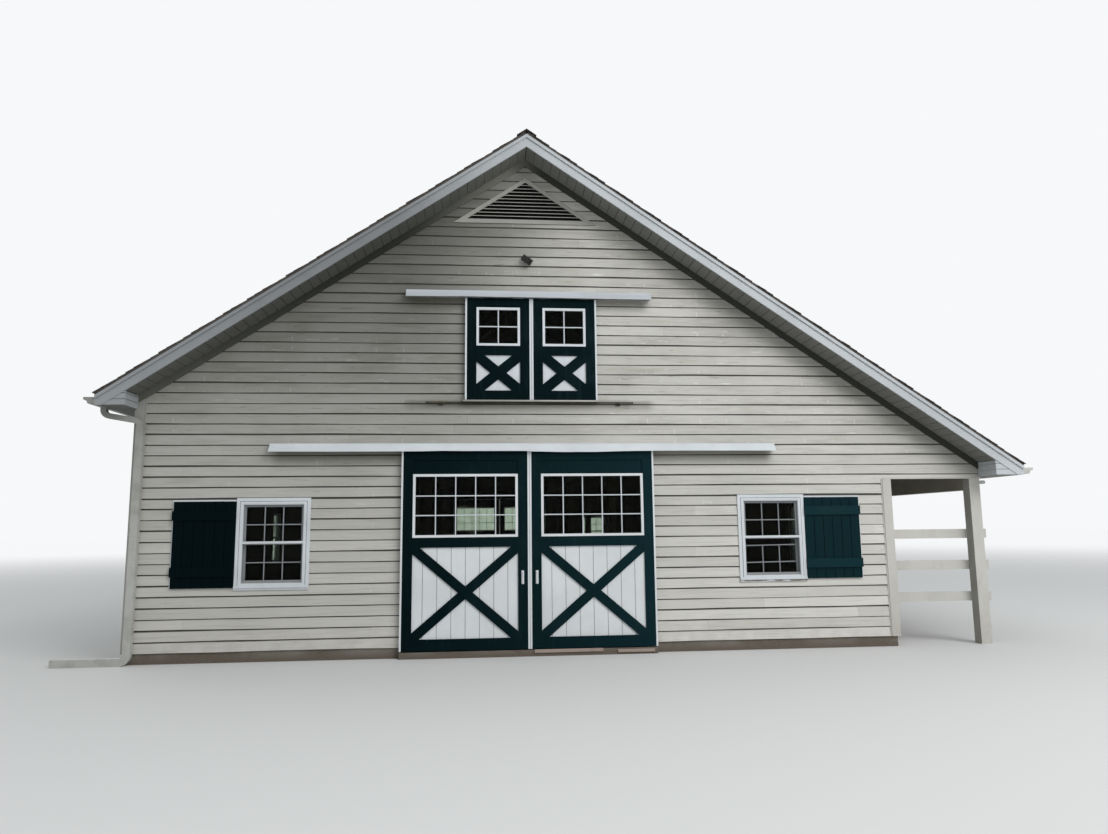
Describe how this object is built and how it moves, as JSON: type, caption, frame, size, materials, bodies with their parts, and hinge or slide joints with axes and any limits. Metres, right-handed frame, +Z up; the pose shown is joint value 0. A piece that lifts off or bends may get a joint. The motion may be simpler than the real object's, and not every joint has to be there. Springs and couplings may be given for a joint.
{
  "type": "gable barn",
  "caption": "Cream lap-sided gable barn with a side porch, dark green X-braced sliding doors, loft doors, a louvred gable vent, shuttered windows and a shingled roof.",
  "frame": {"origin": "on the ground, on the centre line of the doors, half way along the building", "axes": "+X to the right across the front, towards the porch; +Y from the front gable to the back gable; +Z up"},
  "size_m": [14.4395, 20.48, 7.7806],
  "materials": {
    "siding": "cream painted lap boards, weathered",
    "cream_trim": "cream painted trim boards",
    "white_trim": "white painted boards",
    "door_green": "dark blue-green painted boards",
    "shingles": "dark brown asphalt shingles",
    "timber": "plain sawn timber",
    "concrete": "weathered concrete",
    "steel": "galvanised steel",
    "glass": "clear window glass",
    "rainwater": "cream enamelled gutter metal",
    "lamp": "painted lamp housing"
  },
  "bodies": {
    "root": {"foundation": "concrete", "door_sills": "concrete", "ground_floor": "concrete", "front_wall": "siding", "front_gable": "siding", "back_wall": "siding", "back_gable": "siding", "left_wall": "siding", "right_wall": "siding", "loft_floor": "timber", "loft_joists": "timber", "aisle_beams": "timber", "aisle_posts": "timber", "rafters": "timber", "ridge_board": "timber", "roof_left": "shingles", "roof_right": "shingles", "ridge_cap": "shingles", "rake_fascias": "white_trim", "eave_fascias": "white_trim", "rake_soffits": "white_trim", "eave_soffits": "white_trim", "eave_returns": "white_trim", "frieze_boards": "cream_trim", "corner_boards": "cream_trim", "gutters": "rainwater", "downspouts": "rainwater", "door_tracks": "steel", "track_covers": "white_trim", "back_doors": "door_green", "back_door_trim": "white_trim", "loft_doors": "door_green", "loft_door_trim": "white_trim", "loft_ledges": "cream_trim", "fixed_hangers": "steel", "window_frames": "white_trim", "window_glass": "glass", "shutters": "door_green", "gable_vents": "cream_trim", "wall_lights": "lamp", "porch_posts": "cream_trim", "porch_header": "cream_trim", "porch_rails": "cream_trim"},
    "left_leaf": {"left_door": "door_green", "left_door_trim": "white_trim", "left_door_glass": "glass", "left_door_hangers": "steel"},
    "right_leaf": {"right_door": "door_green", "right_door_trim": "white_trim", "right_door_glass": "glass", "right_door_hangers": "steel"}
  },
  "joints": [
    {"name": "left_leaf_slide", "type": "slide", "parent": "root", "child": "left_leaf", "axis": [-1, 0, 0], "range_m": [0, 1.8]},
    {"name": "right_leaf_slide", "type": "slide", "parent": "root", "child": "right_leaf", "axis": [1, 0, 0], "range_m": [0, 1.8]}
  ]
}
